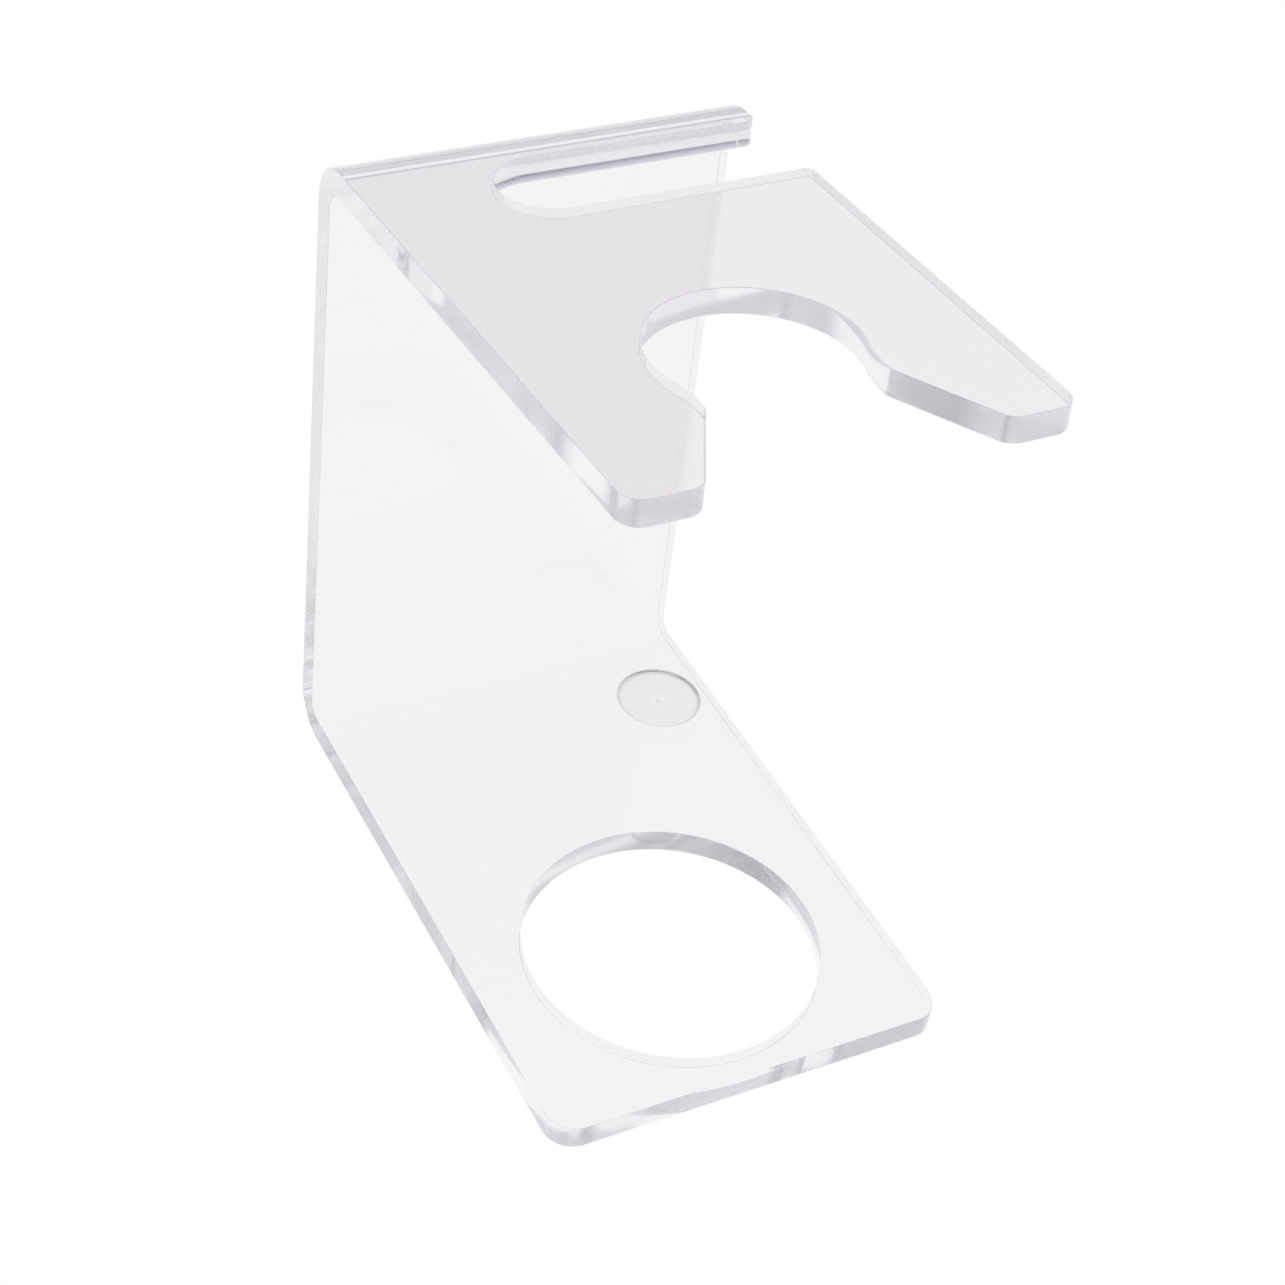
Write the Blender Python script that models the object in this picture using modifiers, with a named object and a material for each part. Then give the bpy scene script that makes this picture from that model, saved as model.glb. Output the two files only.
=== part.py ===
"""Shaving brush and razor stand: one sheet of clear acrylic, cut as a flat blank and folded twice.

The blank is drawn flat, in (across, along) coordinates. "Along" runs over the outer skin of the
finished stand, from the front of the base, back under it, up the rear face and forward over the top.
The folds then carry it round two bends. Metres, +Z up, front towards -Y, underside of the base at z 0.
"""

from math import acos, atan2, ceil, cos, hypot, pi, radians, sin, tan

import bmesh
import bpy
from mathutils import Vector

MM = 0.001

# Driving dimensions of the sheet
SHEET = 4.5 * MM
WIDTH = 72 * MM
BASE_DEPTH = 108 * MM
BACK_HEIGHT = 116 * MM
TOP_DEPTH = 105.5 * MM
BACK_LEAN = radians(2.3)
TOP_PITCH = radians(5.3)
LOWER_BEND = 7.5 * MM
UPPER_BEND = 8 * MM
BASE_CORNER = 5 * MM
TIP_CORNER = 3.6 * MM
LIP_CORNER = 2 * MM
SLOT_CORNER = 1.2 * MM

# Round hole in the base, measured from the rear face
HOLE_RADIUS = 25.6 * MM
HOLE_BACK = 77.4 * MM

# Keyhole notch for the brush
NOTCH_RADIUS = 16.6 * MM
NOTCH_BACK = 75.6 * MM
NECK_HALF = 15 * MM
NECK_BACK = 88.1 * MM
NECK_RADIUS = 16 * MM
MOUTH_HALF = 24.4 * MM

# Slot for the razor, open at the right-hand side
SLOT_BACK = 11.9 * MM
SLOT_WIDTH = 17.5 * MM
SLOT_END = -15 * MM

# Shallow recess in the base that the razor's handle stands in, under the slot's open end
SEAT_ACROSS = 25.8 * MM
SEAT_BACK = 22.5 * MM
SEAT_RADIUS = 7.9 * MM
SEAT_DEPTH = 0.6 * MM
SEAT_COVE = 0.35 * MM
SEAT_RIM = 0.25 * MM
MARK_RADIUS = 1.5 * MM
MARK_DEPTH = 0.15 * MM

# How finely curves are divided: the most that a straight step falls inside its arc, and the bends' steps
SAG = 0.02 * MM
BEND_STEPS = 14
SEAT_SIDES = 64

# Tolerances: points closer than this are one, faces flatter than this are one, sharper edges stay crisp
SAME_POINT = MM / 1000
SAME_FLAT = radians(0.1)
CRISP = radians(30)

# What the sheet is made of
TINT = (0.93, 0.93, 0.945, 1)
POLISH = 0.03
ACRYLIC_IOR = 1.49
SEEN_SOLIDITY = 0.35

HALF = WIDTH / 2


def clear_scene():
    """Empties the file it runs in."""
    for item in list(bpy.data.objects):
        bpy.data.objects.remove(item, do_unlink=True)


def collection(name):
    """A new collection in the scene."""
    group = bpy.data.collections.new(name)
    bpy.context.scene.collection.children.link(group)
    return group


def acrylic(name):
    """The sheet's clear plastic."""
    material = bpy.data.materials.new(name)
    material.use_nodes = True
    shader = material.node_tree.nodes["Principled BSDF"]
    shader.inputs["Base Color"].default_value = TINT
    shader.inputs["Roughness"].default_value = POLISH
    shader.inputs["Metallic"].default_value = 0
    shader.inputs["IOR"].default_value = ACRYLIC_IOR
    shader.inputs["Alpha"].default_value = SEEN_SOLIDITY
    return material


def as_mesh(item):
    """The mesh that an object's curve and modifiers come to."""
    return bpy.data.meshes.new_from_object(item.evaluated_get(bpy.context.evaluated_depsgraph_get()))


def arc(centre, radius, start, end):
    """Points along an arc from one angle to the other, close enough to stay within SAG of it."""
    steps = ceil(abs(end - start) / (2 * acos(1 - SAG / radius)))
    turns = (start + (end - start) * i / steps for i in range(steps + 1))
    return [(centre[0] + radius * cos(a), centre[1] + radius * sin(a)) for a in turns]


# The folds, as lengths over the outer skin
LOWER_TURN = pi / 2 - BACK_LEAN
UPPER_TURN = pi - TOP_PITCH - LOWER_TURN
LOWER_SETBACK = LOWER_BEND * tan(LOWER_TURN / 2)
UPPER_SETBACK = UPPER_BEND * tan(UPPER_TURN / 2)
BASE_FLAT = BASE_DEPTH - LOWER_SETBACK
BACK_FLAT = BACK_HEIGHT - LOWER_SETBACK - UPPER_SETBACK
TOP_FLAT = TOP_DEPTH - UPPER_SETBACK
LOWER_START = BASE_FLAT
LOWER_END = LOWER_START + LOWER_BEND * LOWER_TURN
UPPER_START = LOWER_END + BACK_FLAT
UPPER_END = UPPER_START + UPPER_BEND * UPPER_TURN
BLANK_LENGTH = UPPER_END + TOP_FLAT

# The back leans out past the base's rear corner, and the stand is centred with that overhang
OVERHANG = (BACK_HEIGHT - UPPER_SETBACK) * sin(BACK_LEAN) + UPPER_BEND * (1 - cos(BACK_LEAN))
REAR = (BASE_DEPTH - OVERHANG) / 2


def on_top(distance):
    """Place along the blank of a point on the top plate, given from the outer rear corner."""
    return UPPER_END + distance - UPPER_SETBACK


def notch_side():
    """Right half of the notch, from its deepest point round to the prong's tip."""
    centre = (0, on_top(NOTCH_BACK))
    neck = (NECK_HALF, on_top(NECK_BACK))
    reach = hypot(neck[0], neck[1] - centre[1])
    span = NOTCH_RADIUS + NECK_RADIUS
    opening = acos((reach**2 + span**2 - NECK_RADIUS**2) / (2 * reach * span))
    leave = atan2(neck[1] - centre[1], neck[0]) - opening
    pivot = (span * cos(leave), centre[1] + span * sin(leave))
    finish = atan2(neck[1] - pivot[1], neck[0] - pivot[0])
    round_part = arc(centre, NOTCH_RADIUS, -pi / 2, leave)
    neck_part = arc(pivot, NECK_RADIUS, leave + pi, finish)
    flare = atan2(BLANK_LENGTH - neck[1], MOUTH_HALF - neck[0])
    tip = (MOUTH_HALF + TIP_CORNER * tan(flare / 2), BLANK_LENGTH - TIP_CORNER)
    return round_part + neck_part[1:] + arc(tip, TIP_CORNER, flare + pi / 2, pi / 2)


def blank_outline():
    """The outside edge of the blank, with the notch and the slot cut into it."""
    slot_radius = SLOT_WIDTH / 2
    slot_middle = on_top(SLOT_BACK) + slot_radius
    slot_front = slot_middle + slot_radius
    half_notch = notch_side()
    right = arc((HALF - BASE_CORNER, BASE_CORNER), BASE_CORNER, -pi / 2, 0)
    right += arc((HALF - LIP_CORNER, on_top(SLOT_BACK) - LIP_CORNER), LIP_CORNER, 0, pi / 2)
    right += arc((SLOT_END + slot_radius, slot_middle), slot_radius, -pi / 2, -3 * pi / 2)
    right += arc((HALF - SLOT_CORNER, slot_front + SLOT_CORNER), SLOT_CORNER, -pi / 2, 0)
    right += arc((HALF - TIP_CORNER, BLANK_LENGTH - TIP_CORNER), TIP_CORNER, 0, pi / 2)
    notch = half_notch[::-1] + [(-x, y) for x, y in half_notch[1:]]
    left = arc((TIP_CORNER - HALF, BLANK_LENGTH - TIP_CORNER), TIP_CORNER, pi / 2, pi)
    left += arc((BASE_CORNER - HALF, BASE_CORNER), BASE_CORNER, pi, 3 * pi / 2)
    return right + notch + left


def flat_blank():
    """The cut blank as a closed mesh, SHEET thick, lying flat."""
    curve = bpy.data.curves.new("blank", "CURVE")
    curve.dimensions = "2D"
    curve.fill_mode = "BOTH"
    curve.extrude = SHEET / 2
    hole = arc((0, BASE_DEPTH - HOLE_BACK), HOLE_RADIUS, 0, 2 * pi)[:-1]
    for outline in (blank_outline(), hole):
        spline = curve.splines.new("POLY")
        spline.points.add(len(outline) - 1)
        for point, (x, y) in zip(spline.points, outline):
            point.co = (x, y, 0, 1)
        spline.use_cyclic_u = True
    holder = bpy.data.objects.new("blank", curve)
    bpy.context.scene.collection.objects.link(holder)
    mesh = as_mesh(holder)
    bpy.data.objects.remove(holder)
    return mesh


def skin_point(along):
    """Where the outer skin is at this distance along it, as (y, z) and its outward direction."""
    if along <= LOWER_START:
        return (along - BASE_DEPTH + REAR, 0), (0, -1)
    turn = min(along - LOWER_START, LOWER_END - LOWER_START) / LOWER_BEND
    centre = (REAR - LOWER_SETBACK, LOWER_BEND)
    normal = (sin(turn), -cos(turn))
    y, z = (c + LOWER_BEND * n for c, n in zip(centre, normal))
    if along <= LOWER_END:
        return (y, z), normal
    run = min(along, UPPER_START) - LOWER_END
    y, z = y - normal[1] * run, z + normal[0] * run
    if along <= UPPER_START:
        return (y, z), normal
    centre = (y - UPPER_BEND * normal[0], z - UPPER_BEND * normal[1])
    turn = LOWER_TURN + min(along - UPPER_START, UPPER_END - UPPER_START) / UPPER_BEND
    normal = (sin(turn), -cos(turn))
    run = max(along - UPPER_END, 0)
    y = centre[0] + UPPER_BEND * normal[0] - normal[1] * run
    z = centre[1] + UPPER_BEND * normal[1] + normal[0] * run
    return (y, z), normal


def fold(blank):
    """Scores the blank across each bend, then lays every point of it in its folded place."""
    work = bmesh.new()
    work.from_mesh(blank)
    bmesh.ops.remove_doubles(work, verts=work.verts, dist=SAME_POINT)
    bmesh.ops.dissolve_limit(work, angle_limit=SAME_FLAT, verts=work.verts, edges=work.edges)
    for start, end in ((LOWER_START, LOWER_END), (UPPER_START, UPPER_END)):
        for i in range(BEND_STEPS + 1):
            score = Vector((0, start + (end - start) * i / BEND_STEPS, 0))
            everything = work.verts[:] + work.edges[:] + work.faces[:]
            bmesh.ops.bisect_plane(work, geom=everything, plane_co=score, plane_no=(0, 1, 0))
    for vertex in work.verts:
        depth = vertex.co.z + SHEET / 2
        (y, z), (ny, nz) = skin_point(vertex.co.y)
        vertex.co = (vertex.co.x, y - ny * depth, z - nz * depth)
    work.to_mesh(blank)
    work.free()
    return blank


def seat_cutter():
    """The router bit's path: a flat round floor with a centre mark, coved up to a lightly broken rim."""
    floor = SHEET - SEAT_DEPTH
    wall = SEAT_RADIUS - SEAT_RIM
    profile = [(0, SHEET + SEAT_DEPTH), (SEAT_RADIUS + SEAT_DEPTH, SHEET + SEAT_DEPTH)]
    profile += [(SEAT_RADIUS, SHEET), (wall, SHEET - SEAT_RIM)]
    profile += arc((wall - SEAT_COVE, floor + SEAT_COVE), SEAT_COVE, 0, -pi / 2)
    profile += [(MARK_RADIUS, floor), (MARK_RADIUS / 2, floor - MARK_DEPTH), (0, floor - MARK_DEPTH)]
    mesh = bpy.data.meshes.new("seat_cutter")
    steps = [(i, i + 1) for i in range(len(profile) - 1)]
    mesh.from_pydata([(out, 0, up) for out, up in profile], steps, [])
    cutter = bpy.data.objects.new("seat_cutter", mesh)
    cutter.location = (SEAT_ACROSS, REAR - SEAT_BACK, 0)
    cutter.hide_render = True
    cutter.display_type = "WIRE"
    turn = cutter.modifiers.new("turned", "SCREW")
    turn.axis = "Z"
    turn.angle = 2 * pi
    turn.steps = SEAT_SIDES
    turn.render_steps = SEAT_SIDES
    turn.use_merge_vertices = True
    turn.merge_threshold = SAME_POINT
    return cutter


def bent_sheet():
    """The whole stand, as the one folded sheet that it is."""
    sheet = bpy.data.objects.new("bent_sheet", fold(flat_blank()))
    collection("shaving_stand").objects.link(sheet)
    seat = sheet.modifiers.new("razor_seat", "BOOLEAN")
    seat.operation = "DIFFERENCE"
    seat.solver = "EXACT"
    seat.object = seat_cutter()
    collection("cutters").objects.link(seat.object)
    sheet.data = as_mesh(sheet)
    sheet.modifiers.clear()
    sheet.data.materials.clear()
    sheet.data.materials.append(acrylic("clear_acrylic"))
    sheet.data.shade_smooth()
    sheet.data.set_sharp_from_angle(angle=CRISP)


clear_scene()
bent_sheet()
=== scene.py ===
"""Looks for the clear acrylic shaving stand: a finely cut and folded sheet, its materials, light and camera.

The visible sheet is made as the real one is: a flat blank with its openings cut, its edges eased, the
razor's seat routed into it, then folded twice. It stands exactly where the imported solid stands.
Lengths are in metres. +Z is up, the front is towards -Y.
"""

from math import acos, atan2, ceil, cos, hypot, pi, radians, sin, tan

import bmesh
import bpy
from mathutils import Matrix, Vector


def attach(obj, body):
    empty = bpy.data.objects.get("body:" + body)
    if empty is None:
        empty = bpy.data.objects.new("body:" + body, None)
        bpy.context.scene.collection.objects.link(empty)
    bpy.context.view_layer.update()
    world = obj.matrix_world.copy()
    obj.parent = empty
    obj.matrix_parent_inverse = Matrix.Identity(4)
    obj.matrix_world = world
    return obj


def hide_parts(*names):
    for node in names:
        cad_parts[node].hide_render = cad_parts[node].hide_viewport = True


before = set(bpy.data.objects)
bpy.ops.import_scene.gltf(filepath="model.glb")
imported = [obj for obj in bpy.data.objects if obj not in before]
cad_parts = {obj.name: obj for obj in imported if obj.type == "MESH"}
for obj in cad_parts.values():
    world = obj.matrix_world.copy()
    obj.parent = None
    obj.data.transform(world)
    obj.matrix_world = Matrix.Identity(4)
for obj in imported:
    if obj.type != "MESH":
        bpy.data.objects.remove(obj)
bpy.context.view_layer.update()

MM = 0.001

# Driving dimensions of the sheet
SHEET = 4.5 * MM
WIDTH = 72 * MM
BASE_DEPTH = 108 * MM
BACK_HEIGHT = 116 * MM
TOP_DEPTH = 105.5 * MM
BACK_LEAN = radians(2.3)
TOP_PITCH = radians(5.3)
LOWER_BEND = 7.5 * MM
UPPER_BEND = 8 * MM
BASE_CORNER = 5 * MM
TIP_CORNER = 3.6 * MM
LIP_CORNER = 2 * MM
SLOT_CORNER = 1.2 * MM
EASED = 0.12 * MM

# Round hole in the base, measured from the rear face
HOLE_RADIUS = 25.6 * MM
HOLE_BACK = 77.4 * MM

# Keyhole notch for the brush
NOTCH_RADIUS = 16.6 * MM
NOTCH_BACK = 75.6 * MM
NECK_HALF = 15 * MM
NECK_BACK = 88.1 * MM
NECK_RADIUS = 16 * MM
MOUTH_HALF = 24.4 * MM

# Slot for the razor, open at the right-hand side
SLOT_BACK = 11.9 * MM
SLOT_WIDTH = 17.5 * MM
SLOT_END = -15 * MM

# Shallow recess in the base that the razor's handle stands in
SEAT_ACROSS = 25.8 * MM
SEAT_BACK = 22.5 * MM
SEAT_RADIUS = 7.9 * MM
SEAT_DEPTH = 0.6 * MM
SEAT_COVE = 0.35 * MM
SEAT_RIM = 0.25 * MM
MARK_RADIUS = 1.5 * MM
MARK_DEPTH = 0.15 * MM

# How finely curves are divided: the most that a straight step falls inside its arc, the bends' steps, the
# turned seat's sides, and the steps across an eased edge
SAG = 0.005 * MM
BEND_STEPS = 28
SEAT_SIDES = 128
EASED_STEPS = 1

# Tolerances: points closer than this are one, and faces flatter than this are one
SAME_POINT = MM / 1000
SAME_FLAT = radians(0.1)

HALF = WIDTH / 2

# The folds, as lengths over the outer skin
LOWER_TURN = pi / 2 - BACK_LEAN
UPPER_TURN = pi - TOP_PITCH - LOWER_TURN
LOWER_SETBACK = LOWER_BEND * tan(LOWER_TURN / 2)
UPPER_SETBACK = UPPER_BEND * tan(UPPER_TURN / 2)
LOWER_START = BASE_DEPTH - LOWER_SETBACK
LOWER_END = LOWER_START + LOWER_BEND * LOWER_TURN
UPPER_START = LOWER_END + BACK_HEIGHT - LOWER_SETBACK - UPPER_SETBACK
UPPER_END = UPPER_START + UPPER_BEND * UPPER_TURN
BLANK_LENGTH = UPPER_END + TOP_DEPTH - UPPER_SETBACK
OVERHANG = (BACK_HEIGHT - UPPER_SETBACK) * sin(BACK_LEAN) + UPPER_BEND * (1 - cos(BACK_LEAN))
REAR = (BASE_DEPTH - OVERHANG) / 2

# Face groups of the blank, which are also its material slots
POLISHED, CUT, ROUTED = range(3)

# How the blank's faces are told apart by the upward part of their normals, and which walls shade as one
FLAT = 0.9999
UPRIGHT = 0.01
SMOOTH_UNDER = radians(40)


# ---------------------------------------------------------------- the blank

def arc(centre, radius, start, end):
    """Points along an arc from one angle to the other, close enough to stay within SAG of it."""
    steps = ceil(abs(end - start) / (2 * acos(1 - SAG / radius)))
    turns = (start + (end - start) * i / steps for i in range(steps + 1))
    return [(centre[0] + radius * cos(a), centre[1] + radius * sin(a)) for a in turns]


def as_mesh(item):
    """The mesh that an object's curve and modifiers come to."""
    return bpy.data.meshes.new_from_object(item.evaluated_get(bpy.context.evaluated_depsgraph_get()))


def on_top(distance):
    """Place along the blank of a point on the top plate, given from the outer rear corner."""
    return UPPER_END + distance - UPPER_SETBACK


def notch_side():
    """Right half of the notch, from its deepest point round to the prong's tip."""
    centre = (0, on_top(NOTCH_BACK))
    neck = (NECK_HALF, on_top(NECK_BACK))
    reach = hypot(neck[0], neck[1] - centre[1])
    span = NOTCH_RADIUS + NECK_RADIUS
    opening = acos((reach**2 + span**2 - NECK_RADIUS**2) / (2 * reach * span))
    leave = atan2(neck[1] - centre[1], neck[0]) - opening
    pivot = (span * cos(leave), centre[1] + span * sin(leave))
    finish = atan2(neck[1] - pivot[1], neck[0] - pivot[0])
    round_part = arc(centre, NOTCH_RADIUS, -pi / 2, leave)
    neck_part = arc(pivot, NECK_RADIUS, leave + pi, finish)
    flare = atan2(BLANK_LENGTH - neck[1], MOUTH_HALF - neck[0])
    tip = (MOUTH_HALF + TIP_CORNER * tan(flare / 2), BLANK_LENGTH - TIP_CORNER)
    return round_part + neck_part[1:] + arc(tip, TIP_CORNER, flare + pi / 2, pi / 2)


def blank_outline():
    """The outside edge of the blank, with the notch and the slot cut into it."""
    slot_radius = SLOT_WIDTH / 2
    slot_middle = on_top(SLOT_BACK) + slot_radius
    slot_front = slot_middle + slot_radius
    half_notch = notch_side()
    right = arc((HALF - BASE_CORNER, BASE_CORNER), BASE_CORNER, -pi / 2, 0)
    right += arc((HALF - LIP_CORNER, on_top(SLOT_BACK) - LIP_CORNER), LIP_CORNER, 0, pi / 2)
    right += arc((SLOT_END + slot_radius, slot_middle), slot_radius, -pi / 2, -3 * pi / 2)
    right += arc((HALF - SLOT_CORNER, slot_front + SLOT_CORNER), SLOT_CORNER, -pi / 2, 0)
    right += arc((HALF - TIP_CORNER, BLANK_LENGTH - TIP_CORNER), TIP_CORNER, 0, pi / 2)
    notch = half_notch[::-1] + [(-x, y) for x, y in half_notch[1:]]
    left = arc((TIP_CORNER - HALF, BLANK_LENGTH - TIP_CORNER), TIP_CORNER, pi / 2, pi)
    left += arc((BASE_CORNER - HALF, BASE_CORNER), BASE_CORNER, pi, 3 * pi / 2)
    return right + notch + left


def cut_blank():
    """The blank lying flat, SHEET thick, with its sharp edges eased."""
    curve = bpy.data.curves.new("blank", "CURVE")
    curve.dimensions = "2D"
    curve.fill_mode = "BOTH"
    curve.extrude = SHEET / 2 - EASED
    curve.bevel_depth = EASED
    curve.bevel_resolution = EASED_STEPS
    curve.offset = -EASED
    hole = arc((0, BASE_DEPTH - HOLE_BACK), HOLE_RADIUS, 0, 2 * pi)[:-1]
    for outline in (blank_outline(), hole):
        spline = curve.splines.new("POLY")
        spline.points.add(len(outline) - 1)
        for point, (x, y) in zip(spline.points, outline):
            point.co = (x, y, 0, 1)
        spline.use_cyclic_u = True
    holder = bpy.data.objects.new("blank", curve)
    bpy.context.scene.collection.objects.link(holder)
    mesh = as_mesh(holder)
    bpy.data.objects.remove(holder)
    return mesh


def turned(name, profile):
    """A closed solid turned about Z from an (out, up) profile that starts and ends on the axis."""
    work = bmesh.new()
    corners = [work.verts.new((out, 0, up)) for out, up in profile]
    edges = [work.edges.new(pair) for pair in zip(corners, corners[1:])]
    bmesh.ops.spin(work, geom=corners + edges, cent=(0, 0, 0), axis=(0, 0, 1), angle=2 * pi,
                   steps=SEAT_SIDES, use_merge=True)
    bmesh.ops.remove_doubles(work, verts=work.verts, dist=SAME_POINT)
    bmesh.ops.recalc_face_normals(work, faces=work.faces)
    mesh = bpy.data.meshes.new(name)
    work.to_mesh(mesh)
    work.free()
    return mesh


def seat_place():
    """Centre of the razor's seat in the blank."""
    return Vector((SEAT_ACROSS, BASE_DEPTH - SEAT_BACK, 0))


def rout_seat(blank):
    """The blank with the razor's seat routed into what becomes the base's upper face."""
    face = SHEET / 2
    floor = face - SEAT_DEPTH
    wall = SEAT_RADIUS - SEAT_RIM
    profile = [(0, floor - MARK_DEPTH), (MARK_RADIUS / 2, floor - MARK_DEPTH), (MARK_RADIUS, floor)]
    profile += arc((wall - SEAT_COVE, floor + SEAT_COVE), SEAT_COVE, -pi / 2, 0)
    profile += arc((SEAT_RADIUS, face - SEAT_RIM), SEAT_RIM, pi, pi / 2)[1:]
    profile += [(SEAT_RADIUS + SEAT_DEPTH, face + SEAT_DEPTH), (0, face + SEAT_DEPTH)]
    cutter = bpy.data.objects.new("seat_cutter", turned("seat_cutter", profile))
    cutter.location = seat_place()
    holder = bpy.data.objects.new("blank", blank)
    for item in (cutter, holder):
        bpy.context.scene.collection.objects.link(item)
    cut = holder.modifiers.new("seat", "BOOLEAN")
    cut.operation = "DIFFERENCE"
    cut.solver = "EXACT"
    cut.object = cutter
    mesh = as_mesh(holder)
    for item in (cutter, holder):
        bpy.data.objects.remove(item)
    return mesh


# ---------------------------------------------------------------- the folds

def skin_point(along):
    """Where the outer skin is at this distance along it, as (y, z) and its outward direction."""
    if along <= LOWER_START:
        return (along - BASE_DEPTH + REAR, 0), (0, -1)
    turn = min(along - LOWER_START, LOWER_END - LOWER_START) / LOWER_BEND
    centre = (REAR - LOWER_SETBACK, LOWER_BEND)
    normal = (sin(turn), -cos(turn))
    y, z = (c + LOWER_BEND * n for c, n in zip(centre, normal))
    if along <= LOWER_END:
        return (y, z), normal
    run = min(along, UPPER_START) - LOWER_END
    y, z = y - normal[1] * run, z + normal[0] * run
    if along <= UPPER_START:
        return (y, z), normal
    centre = (y - UPPER_BEND * normal[0], z - UPPER_BEND * normal[1])
    turn = LOWER_TURN + min(along - UPPER_START, UPPER_END - UPPER_START) / UPPER_BEND
    normal = (sin(turn), -cos(turn))
    run = max(along - UPPER_END, 0)
    y = centre[0] + UPPER_BEND * normal[0] - normal[1] * run
    z = centre[1] + UPPER_BEND * normal[1] + normal[0] * run
    return (y, z), normal


def face_group(face):
    """Which material a face of the flat blank takes."""
    middle = face.calc_center_median()
    off_seat = (middle - seat_place()).to_2d().length
    if off_seat < SEAT_RADIUS and 0 < middle.z < SHEET / 2 - SAME_POINT:
        return ROUTED
    return POLISHED if abs(face.normal.z) > FLAT else CUT


def corner_normal(face, vertex):
    """Shading direction of a face at one corner: flats stay flat, walls run smooth along their outline."""
    if abs(face.normal.z) > FLAT:
        return face.normal.copy()
    near = [f for f in vertex.link_faces if f.normal.angle(face.normal) < SMOOTH_UNDER]
    flats = [f for f in near if abs(f.normal.z) > FLAT]
    walls = [f for f in near if abs(f.normal.z) < UPRIGHT]
    total = Vector()
    for other in flats or walls or near:
        total += other.normal
    return total.normalized()


def fold(blank):
    """Scores the blank across each bend, then lays every point and every normal in its folded place."""
    work = bmesh.new()
    work.from_mesh(blank)
    bmesh.ops.remove_doubles(work, verts=work.verts, dist=SAME_POINT)
    bmesh.ops.dissolve_limit(work, angle_limit=SAME_FLAT, verts=work.verts, edges=work.edges)
    for start, end in ((LOWER_START, LOWER_END), (UPPER_START, UPPER_END)):
        for i in range(BEND_STEPS + 1):
            score = Vector((0, start + (end - start) * i / BEND_STEPS, 0))
            everything = work.verts[:] + work.edges[:] + work.faces[:]
            bmesh.ops.bisect_plane(work, geom=everything, plane_co=score, plane_no=(0, 1, 0))
    work.normal_update()
    for face in work.faces:
        face.material_index = face_group(face)
        face.smooth = True
    shading = []
    for face in work.faces:
        for loop in face.loops:
            flat = corner_normal(face, loop.vert)
            ny, nz = skin_point(loop.vert.co.y)[1]
            shading.append((flat.x, -flat.y * nz - flat.z * ny, flat.y * ny - flat.z * nz))
    places = []
    for vertex in work.verts:
        depth = vertex.co.z + SHEET / 2
        places.append((vertex.co.x, vertex.co.y, depth))
        (y, z), (ny, nz) = skin_point(vertex.co.y)
        vertex.co = (vertex.co.x, y - ny * depth, z - nz * depth)
    mesh = bpy.data.meshes.new("clear_sheet")
    work.to_mesh(mesh)
    work.free()
    in_blank = mesh.attributes.new("blank", "FLOAT_VECTOR", "POINT")
    in_blank.data.foreach_set("vector", [value for place in places for value in place])
    mesh.normals_split_custom_set(shading)
    return mesh


# ---------------------------------------------------------------- materials

def set_stops(ramp, stops):
    """Fills a colour ramp with (position, colour) stops."""
    while len(ramp.elements) < len(stops):
        ramp.elements.new(1)
    for element, (position, colour) in zip(ramp.elements, stops):
        element.position = position
        element.color = (*colour, 1)


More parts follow.
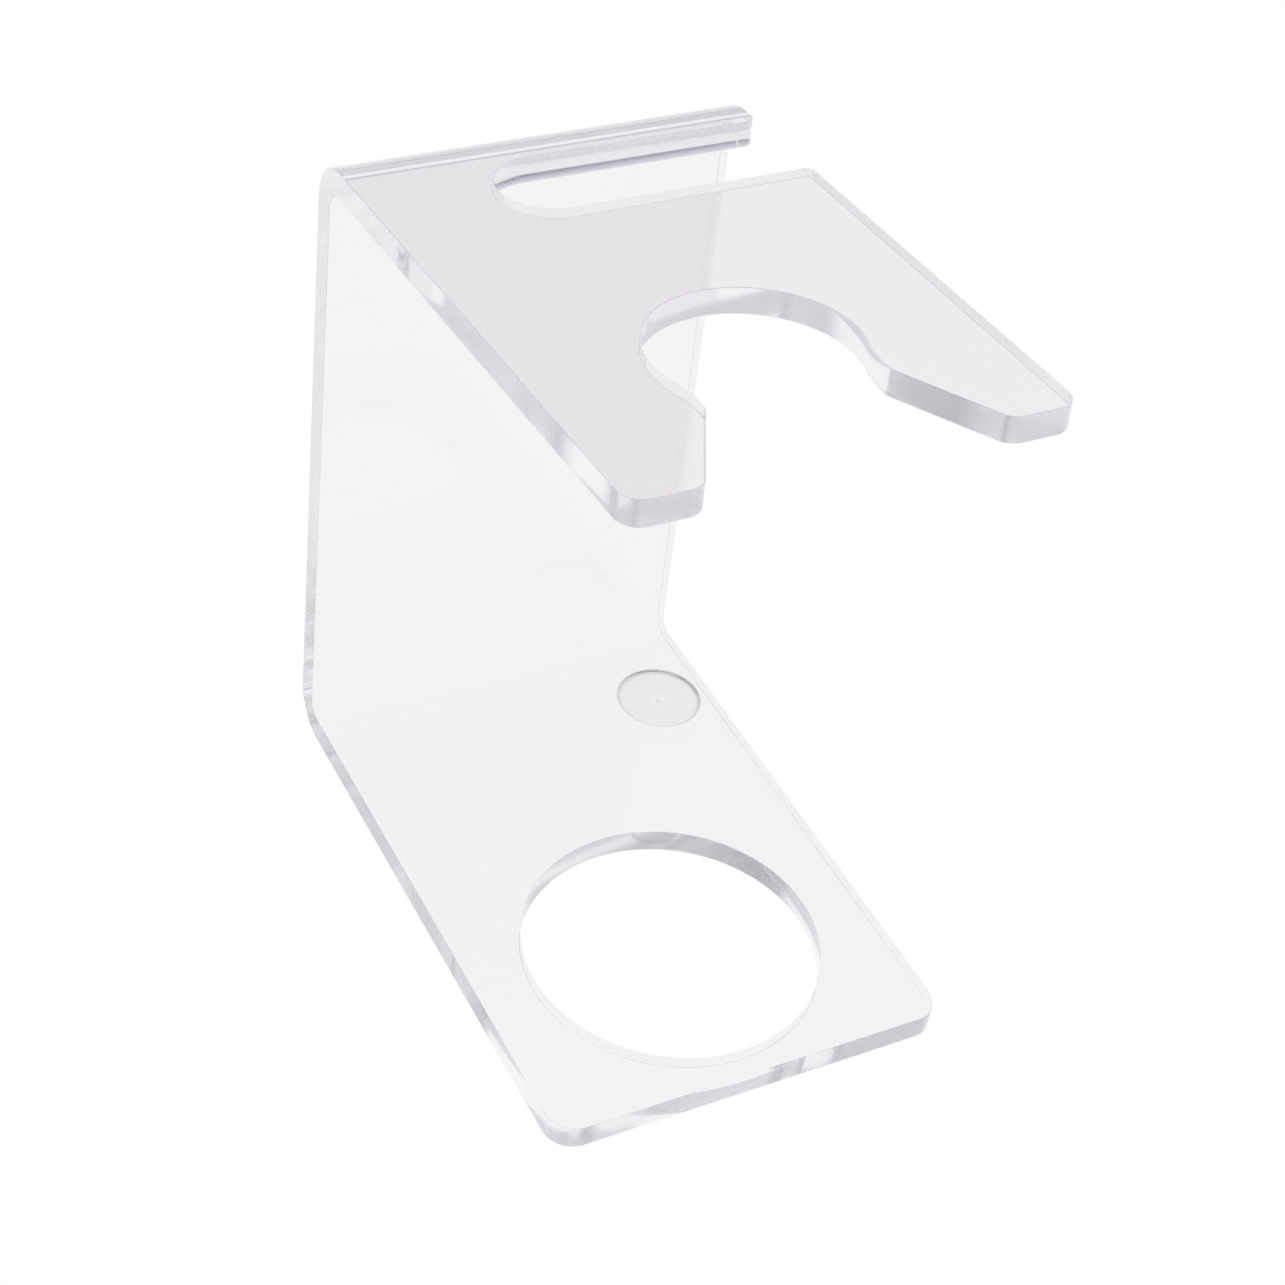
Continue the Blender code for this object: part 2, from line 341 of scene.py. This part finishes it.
class Nodes:
    """A short way to lay out one material's nodes."""

    def __init__(self, name):
        self.material = bpy.data.materials.new(name)
        self.material.use_nodes = True
        self.tree = self.material.node_tree
        self.shader = self.tree.nodes["Principled BSDF"]

    def add(self, kind, **settings):
        """A node of this kind, with its settings made."""
        node = self.tree.nodes.new(kind)
        for key, value in settings.items():
            setattr(node, key, value)
        return node

    def link(self, source, target):
        """Joins an output socket to an input socket."""
        self.tree.links.new(source, target)

    def in_blank(self, scale):
        """Places in the flat blank, scaled along (across, along, depth)."""
        place = self.add("ShaderNodeAttribute", attribute_name="blank")
        mapping = self.add("ShaderNodeMapping")
        mapping.inputs["Scale"].default_value = scale
        self.link(place.outputs["Vector"], mapping.inputs["Vector"])
        return mapping.outputs["Vector"]

    def noise(self, scale, detail, roughness=0.5):
        """A noise over the blank, with this many cells per metre across, along and through."""
        node = self.add("ShaderNodeTexNoise")
        node.inputs["Scale"].default_value = 1
        node.inputs["Detail"].default_value = detail
        node.inputs["Roughness"].default_value = roughness
        self.link(self.in_blank(scale), node.inputs["Vector"])
        return node.outputs["Fac"]

    def spread(self, value, low, high, out_low, out_high):
        """A value stretched from one range to another, and held at the ends."""
        node = self.add("ShaderNodeMapRange")
        node.inputs["From Min"].default_value = low
        node.inputs["From Max"].default_value = high
        node.inputs["To Min"].default_value = out_low
        node.inputs["To Max"].default_value = out_high
        self.link(value, node.inputs["Value"])
        return node.outputs["Result"]

    def maths(self, operation, first, second=0):
        """A maths node on two sockets or numbers."""
        node = self.add("ShaderNodeMath", operation=operation)
        for socket, value in zip(node.inputs, (first, second)):
            if isinstance(value, (int, float)):
                socket.default_value = value
            else:
                self.link(value, socket)
        return node.outputs["Value"]

    def tint(self, value, dark, light):
        """A colour between two, by a value."""
        node = self.add("ShaderNodeMix", data_type="RGBA")
        node.inputs["A"].default_value = (*dark, 1)
        node.inputs["B"].default_value = (*light, 1)
        self.link(value, node.inputs["Factor"])
        return node.outputs["Result"]

    def ramp(self, value, stops):
        """A grey by a value, from (value, lightness) stops."""
        node = self.add("ShaderNodeValToRGB")
        set_stops(node.color_ramp, [(position, (light, light, light)) for position, light in stops])
        self.link(value, node.inputs["Fac"])
        return node.outputs["Color"]

    def relief(self, height, distance):
        """A bump of this height in metres."""
        node = self.add("ShaderNodeBump")
        node.inputs["Distance"].default_value = distance
        node.inputs["Strength"].default_value = 1
        self.link(height, node.inputs["Height"])
        self.link(node.outputs["Normal"], self.shader.inputs["Normal"])


# Clear acrylic: its refractive index, the tint of light that has run through it, and how fast it absorbs
ACRYLIC_IOR = 1.49
ABSORBED = (0.66, 0.645, 0.71)
ABSORPTION = 2


def clear_plastic(name):
    """The parts that every acrylic surface shares."""
    nodes = Nodes(name)
    nodes.shader.inputs["IOR"].default_value = ACRYLIC_IOR
    nodes.shader.inputs["Transmission Weight"].default_value = 1
    depth = nodes.add("ShaderNodeVolumeAbsorption")
    depth.inputs["Color"].default_value = (*ABSORBED, 1)
    depth.inputs["Density"].default_value = ABSORPTION
    nodes.link(depth.outputs["Volume"], nodes.tree.nodes["Material Output"].inputs["Volume"])
    return nodes


# The cast faces' tint, and painted shade: how far the tint is darkened on the back and on the top against the
# base
FACE_DARK = (0.914, 0.9, 0.912)
FACE_LIGHT = (0.934, 0.92, 0.932)
BACK_PAINTED_SHADE = 0.99
TOP_PAINTED_SHADE = 0.98

# Their surface: cloudy haze, long wipe marks and a slow wave. CELLS is a noise's cells per metre across,
# along and through the blank, DETAIL its finer layers, FALL how strong those are, and MATT the roughness at
# the two ends of RANGE
HAZE_CELLS = (70, 60, 60)
HAZE_DETAIL = 5
HAZE_FALL = 0.6
HAZE_RANGE = (0.4, 0.75)
HAZE_MATT = (0.0, 0.02)
WIPE_CELLS = (900, 40, 40)
WIPE_DETAIL = 2
WIPE_RANGE = (0.6, 0.8)
WIPE_MATT = (0.06, 0.08)
WAVE_CELLS = (30, 30, 30)
WAVE_DETAIL = 1
WAVE_HEIGHT = 0.02 * MM


def polished_face():
    """The sheet's own cast faces: clear, faintly wavy, with handling haze and fine wipe marks, and painted
    shade that darkens the back and the top.
    """
    nodes = clear_plastic("polished_acrylic")
    haze = nodes.noise(HAZE_CELLS, HAZE_DETAIL, HAZE_FALL)
    wipes = nodes.noise(WIPE_CELLS, WIPE_DETAIL)
    place = nodes.add("ShaderNodeAttribute", attribute_name="blank")
    parts = nodes.add("ShaderNodeSeparateXYZ")
    nodes.link(place.outputs["Vector"], parts.inputs["Vector"])
    along = parts.outputs["Y"]
    # Painted shade: the tint darkens across the lower bend onto the back, and across the upper bend onto the
    # top
    back = nodes.spread(along, LOWER_START, LOWER_END, 1.0, BACK_PAINTED_SHADE)
    top = nodes.spread(along, UPPER_START, UPPER_END, 1.0, TOP_PAINTED_SHADE)
    tint_and_painted_light = nodes.add("ShaderNodeVectorMath", operation="SCALE")
    nodes.link(nodes.tint(haze, FACE_DARK, FACE_LIGHT), tint_and_painted_light.inputs[0])
    nodes.link(nodes.maths("MULTIPLY", back, top), tint_and_painted_light.inputs["Scale"])
    nodes.link(tint_and_painted_light.outputs["Vector"], nodes.shader.inputs["Base Color"])
    smear = nodes.spread(haze, *HAZE_RANGE, *HAZE_MATT)
    wiped = nodes.spread(wipes, *WIPE_RANGE, *WIPE_MATT)
    nodes.link(nodes.maths("ADD", smear, wiped), nodes.shader.inputs["Roughness"])
    nodes.relief(nodes.noise(WAVE_CELLS, WAVE_DETAIL), WAVE_HEIGHT)
    return nodes.material


# The cut edges: their tint, the cutter's fine and coarse marks, the fine ones' share of the relief, and matt
# patches
EDGE_DARK = (0.88, 0.87, 0.89)
EDGE_LIGHT = (0.98, 0.975, 0.985)
FINE_CELLS = (1100, 1100, 20)
FINE_DETAIL = 1
FINE_RANGE = (0.3, 0.7)
FINE_MATT = (0.02, 0.05)
FINE_SHARE = 0.1
COARSE_CELLS = (260, 260, 15)
COARSE_DETAIL = 1
PATCH_CELLS = (60, 60, 10)
PATCH_DETAIL = 2
PATCH_RANGE = (0.35, 0.65)
PATCH_MATT = (0.01, 0.12)
EDGE_RELIEF = 0.006 * MM


def cut_edge():
    """The cut edges: slightly matt in patches, striated through the thickness by the cutter."""
    nodes = clear_plastic("cut_acrylic")
    fine = nodes.noise(FINE_CELLS, FINE_DETAIL)
    coarse = nodes.noise(COARSE_CELLS, COARSE_DETAIL)
    patches = nodes.noise(PATCH_CELLS, PATCH_DETAIL)
    nodes.link(nodes.tint(patches, EDGE_DARK, EDGE_LIGHT), nodes.shader.inputs["Base Color"])
    striped = nodes.spread(fine, *FINE_RANGE, *FINE_MATT)
    patchy = nodes.spread(patches, *PATCH_RANGE, *PATCH_MATT)
    nodes.link(nodes.maths("ADD", striped, patchy), nodes.shader.inputs["Roughness"])
    nodes.relief(nodes.maths("ADD", coarse, nodes.maths("MULTIPLY", fine, FINE_SHARE)), EDGE_RELIEF)
    return nodes.material


# The seat's tint, the share of light that it lets through, its satin grain, its wall's added roughness, and
# the tool's rings with their share of the relief
SEAT_DARK = (0.86, 0.845, 0.855)
SEAT_LIGHT = (0.9, 0.885, 0.89)
SEAT_CLEAR = 0.93
GRAIN_CELLS = (1500, 1500, 1500)
GRAIN_DETAIL = 2
GRAIN_RANGE = (0.3, 0.7)
GRAIN_MATT = (0.08, 0.2)
WALL_MATT = 0.12
RING_STEP = 0.45 * MM
RING_SHARE = 0.15
SEAT_RELIEF = 0.006 * MM
# Painted light on the seat, by distance from its centre as a part of its radius: painted shade on the centre
# dot, a painted highlight ring round it, the plain floor, and painted shade at the wall
SEAT_PAINTED_LIGHT = (
    (0.05, 0.84),
    (0.09, 1.03),
    (0.17, 1.03),
    (0.22, 0.98),
    (0.87, 0.98),
    (0.92, 0.74),
    (1.0, 0.74),
)


def routed_floor():
    """The razor's seat: satin from the router bit, matt at its wall, with a mark at its centre; its tint
    carries painted shade at the wall and on the mark's dot, and a painted highlight ring round the dot.
    """
    nodes = clear_plastic("routed_acrylic")
    place = nodes.add("ShaderNodeAttribute", attribute_name="blank")
    centre = nodes.add("ShaderNodeVectorMath", operation="DISTANCE")
    centre.inputs[1].default_value = (SEAT_ACROSS, BASE_DEPTH - SEAT_BACK, SHEET - SEAT_DEPTH)
    nodes.link(place.outputs["Vector"], centre.inputs[0])
    out = centre.outputs["Value"]
    rings = nodes.maths("SINE", nodes.maths("MULTIPLY", out, 2 * pi / RING_STEP))
    grain = nodes.noise(GRAIN_CELLS, GRAIN_DETAIL)
    # Painted light: the tint is darkened at the wall and on the centre dot, and lightened in a ring round the
    # dot
    painted_light_by_radius = nodes.ramp(nodes.maths("DIVIDE", out, SEAT_RADIUS), SEAT_PAINTED_LIGHT)
    tint_and_painted_light = nodes.add("ShaderNodeVectorMath", operation="MULTIPLY")
    nodes.link(nodes.tint(grain, SEAT_DARK, SEAT_LIGHT), tint_and_painted_light.inputs[0])
    nodes.link(painted_light_by_radius, tint_and_painted_light.inputs[1])
    nodes.link(tint_and_painted_light.outputs["Vector"], nodes.shader.inputs["Base Color"])
    cove_end = SEAT_RADIUS - SEAT_RIM
    wall = nodes.spread(out, cove_end - SEAT_COVE, cove_end, 0.0, WALL_MATT)
    matt = nodes.maths("ADD", nodes.spread(grain, *GRAIN_RANGE, *GRAIN_MATT), wall)
    nodes.link(matt, nodes.shader.inputs["Roughness"])
    nodes.relief(nodes.maths("ADD", nodes.maths("MULTIPLY", rings, RING_SHARE), grain), SEAT_RELIEF)
    nodes.shader.inputs["Transmission Weight"].default_value = SEAT_CLEAR
    return nodes.material


def clear_sheet():
    """The whole stand, as the one folded sheet that it is."""
    sheet = bpy.data.objects.new("clear_sheet", fold(rout_seat(cut_blank())))
    for material in (polished_face(), cut_edge(), routed_floor()):
        sheet.data.materials.append(material)
    bpy.context.scene.collection.objects.link(sheet)
    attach(sheet, "root")
    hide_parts("bent_sheet")


# ---------------------------------------------------------------- studio

# The light table: half its side, how far it lies under the stand, and its glow
TABLE_REACH = 2500 * MM
TABLE_GAP = 0.05 * MM
TABLE_GLOW = 1.0


def glowing_white():
    """A plain white surface that gives off even light and reflects none."""
    nodes = Nodes("floor_white")
    nodes.shader.inputs["Base Color"].default_value = (0, 0, 0, 1)
    nodes.shader.inputs["Specular IOR Level"].default_value = 0
    nodes.shader.inputs["Emission Color"].default_value = (1, 1, 1, 1)
    nodes.shader.inputs["Emission Strength"].default_value = TABLE_GLOW
    return nodes.material


def light_table():
    """The plain white surface under the stand, lit from below."""
    work = bmesh.new()
    bmesh.ops.create_grid(work, x_segments=1, y_segments=1, size=TABLE_REACH)
    mesh = bpy.data.meshes.new("floor")
    work.to_mesh(mesh)
    work.free()
    floor = bpy.data.objects.new("floor", mesh)
    floor.location.z = -TABLE_GAP
    floor.data.materials.append(glowing_white())
    bpy.context.scene.collection.objects.link(floor)


# The room's light by height above the horizon, as the upward part of the direction and its colour
ROOM = (
    (0.0, (1, 1, 1)),
    (0.19, (0.93, 0.93, 0.94)),
    (0.23, (0.37, 0.37, 0.43)),
    (0.29, (0.37, 0.37, 0.43)),
    (0.34, (0.72, 0.71, 0.74)),
    (0.7, (0.72, 0.71, 0.74)),
    (1.0, (0.8, 0.79, 0.82)),
)


def surroundings():
    """The room's light: white near the horizon, a darker band above it, then a soft grey overhead."""
    world = bpy.data.worlds.new("studio")
    world.use_nodes = True
    tree = world.node_tree
    place = tree.nodes.new("ShaderNodeTexCoord")
    parts = tree.nodes.new("ShaderNodeSeparateXYZ")
    ramp = tree.nodes.new("ShaderNodeValToRGB")
    tree.links.new(place.outputs["Generated"], parts.inputs["Vector"])
    tree.links.new(parts.outputs["Z"], ramp.inputs["Fac"])
    tree.links.new(ramp.outputs["Color"], tree.nodes["Background"].inputs["Color"])
    set_stops(ramp.color_ramp, ROOM)
    bpy.context.scene.world = world


# The viewpoint: turned to the stand's left, well above it, and held slightly askew. The lens and the frame's
# width are in millimetres, as on a camera
AZIMUTH = radians(-33.0)
ELEVATION = radians(40.82)
ROLL = radians(9.23)
LENS = 76.16
SENSOR_WIDTH = 36
NEAREST = 10 * MM
VIEWPOINT = Vector((-182.98 * MM, REAR - 335.5 * MM, 342.18 * MM))


def camera():
    """The camera at its viewpoint, looking down at the stand."""
    back = Vector((sin(AZIMUTH) * cos(ELEVATION), -cos(AZIMUTH) * cos(ELEVATION), sin(ELEVATION)))
    right = (-back).cross(Vector((0, 0, 1))).normalized()
    turn = Matrix((right, back.cross(right), back)).transposed() @ Matrix.Rotation(ROLL, 3, "Z")
    data = bpy.data.cameras.new("camera")
    data.lens = LENS
    data.sensor_width = SENSOR_WIDTH
    data.clip_start = NEAREST
    view = bpy.data.objects.new("camera", data)
    view.matrix_world = Matrix.Translation(VIEWPOINT) @ turn.to_4x4()
    bpy.context.scene.collection.objects.link(view)
    bpy.context.scene.camera = view


# Light runs a long way inside the sheet from edge to edge before it comes out
BOUNCES = 96


def light_paths():
    """Enough bounces for light that runs along inside the sheet."""
    scene = bpy.context.scene
    scene.view_settings.view_transform = "Standard"
    scene.cycles.max_bounces = BOUNCES
    scene.cycles.transmission_bounces = BOUNCES
    scene.cycles.glossy_bounces = BOUNCES


clear_sheet()
light_table()
surroundings()
camera()
light_paths()
